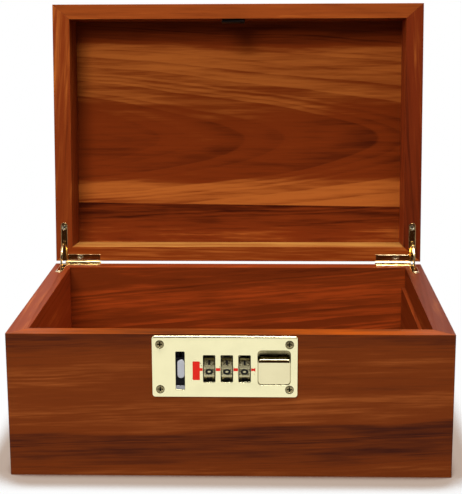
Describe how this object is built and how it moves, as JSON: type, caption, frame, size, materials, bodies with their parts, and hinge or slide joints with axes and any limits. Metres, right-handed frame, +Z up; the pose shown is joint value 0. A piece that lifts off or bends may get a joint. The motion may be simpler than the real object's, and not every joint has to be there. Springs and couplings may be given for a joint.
{
  "type": "bottle lock box",
  "caption": "Wooden lock box for a liquor bottle with a hinged lid on stop hinges and a dial combination lock in its front.",
  "frame": {"origin": "middle of the underside of the base, on the face it stands on", "axes": "+X to the right seen from the front, +Y to the rear, +Z up; the lock is on the -Y face"},
  "size_m": [0.33, 0.3079, 0.3407],
  "materials": {
    "outer_wood": "satin lacquered reddish brown hardwood with a straight grain",
    "liner_wood": "satin lacquered reddish brown hardwood",
    "hinge_brass": "polished",
    "plate_brass": "polished pale",
    "aged_brass": "antiqued",
    "lock_steel": "zinc plated",
    "dark_steel": "browned",
    "red_enamel": "enamel",
    "black_plastic": "moulded",
    "grey_plastic": "moulded"
  },
  "bodies": {
    "base": {"base_front_wall": "outer_wood", "base_rear_wall": "outer_wood", "base_left_wall": "outer_wood", "base_right_wall": "outer_wood", "base_floor": "outer_wood", "right_liner": "liner_wood", "base_leaf_left": "hinge_brass", "base_leaf_right": "hinge_brass", "hinge_pin_left": "hinge_brass", "hinge_pin_right": "hinge_brass", "base_leaf_screws": "hinge_brass", "lock_plate": "plate_brass", "plate_screws": "aged_brass", "index_inlay": "red_enamel", "lock_case": "lock_steel", "back_cover": "lock_steel", "cover_screws": "lock_steel", "dial_axle": "lock_steel", "axle_bracket_left": "lock_steel", "axle_bracket_right": "lock_steel", "dial_click_spring": "lock_steel", "code_slot_channel": "black_plastic", "code_slot_clip": "lock_steel", "thumb_cup": "aged_brass", "thumb_click_spring": "lock_steel", "bolt_guide_stud": "lock_steel"},
    "lid": {"lid_front_rail": "outer_wood", "lid_rear_rail": "outer_wood", "lid_left_rail": "outer_wood", "lid_right_rail": "outer_wood", "lid_wide_board": "outer_wood", "lid_narrow_board": "outer_wood", "lid_leaf_left": "hinge_brass", "lid_leaf_right": "hinge_brass", "lid_leaf_screws": "hinge_brass", "hasp": "dark_steel", "hasp_screws": "dark_steel"},
    "stop_arm_left": {"stop_arm_left": "hinge_brass"},
    "stop_arm_right": {"stop_arm_right": "hinge_brass"},
    "dial_one": {"dial_one": "aged_brass", "dial_sleeve_one": "hinge_brass"},
    "dial_two": {"dial_two": "aged_brass", "dial_sleeve_two": "hinge_brass"},
    "dial_three": {"dial_three": "aged_brass", "dial_sleeve_three": "hinge_brass"},
    "thumb_slide": {"thumb_slide": "plate_brass", "drive_pin": "lock_steel"},
    "bolt": {"bolt": "lock_steel", "fence_bar": "lock_steel"},
    "code_change_slide": {"code_change_slide": "grey_plastic"}
  },
  "joints": [
    {"name": "lid_hinge", "type": "hinge", "parent": "base", "child": "lid", "pos_m": [0, 0.1167, 0.1103], "axis": [1, 0, 0], "range_deg": [0, 96]},
    {"name": "stop_arm_left_swing", "type": "hinge", "parent": "base", "child": "stop_arm_left", "pos_m": [-0.1574, 0.1167, 0.1103], "axis": [1, 0, 0], "range_deg": [0, 48]},
    {"name": "stop_arm_right_swing", "type": "hinge", "parent": "base", "child": "stop_arm_right", "pos_m": [0.1574, 0.1167, 0.1103], "axis": [1, 0, 0], "range_deg": [0, 48]},
    {"name": "dial_one_spin", "type": "hinge", "parent": "base", "child": "dial_one", "pos_m": [-0.0149, -0.1062, 0.082], "axis": [1, 0, 0], "continuous": true},
    {"name": "dial_two_spin", "type": "hinge", "parent": "base", "child": "dial_two", "pos_m": [-0.0019, -0.1062, 0.082], "axis": [1, 0, 0], "continuous": true},
    {"name": "dial_three_spin", "type": "hinge", "parent": "base", "child": "dial_three", "pos_m": [0.0111, -0.1062, 0.082], "axis": [1, 0, 0], "continuous": true},
    {"name": "thumb_slide_travel", "type": "slide", "parent": "base", "child": "thumb_slide", "axis": [0, 0, 1], "range_m": [0, 0.006]},
    {"name": "bolt_travel", "type": "slide", "parent": "base", "child": "bolt", "axis": [-1, 0, 0], "range_m": [0, 0.0033]},
    {"name": "code_change_travel", "type": "slide", "parent": "base", "child": "code_change_slide", "axis": [0, 0, 1], "range_m": [0, 0.006]}
  ],
  "couplings": [
    {"joint": "stop_arm_left_swing", "follows": "lid_hinge", "ratio": 0.5},
    {"joint": "stop_arm_right_swing", "follows": "lid_hinge", "ratio": 0.5},
    {"joint": "bolt_travel", "follows": "thumb_slide_travel", "ratio": 0.55}
  ]
}
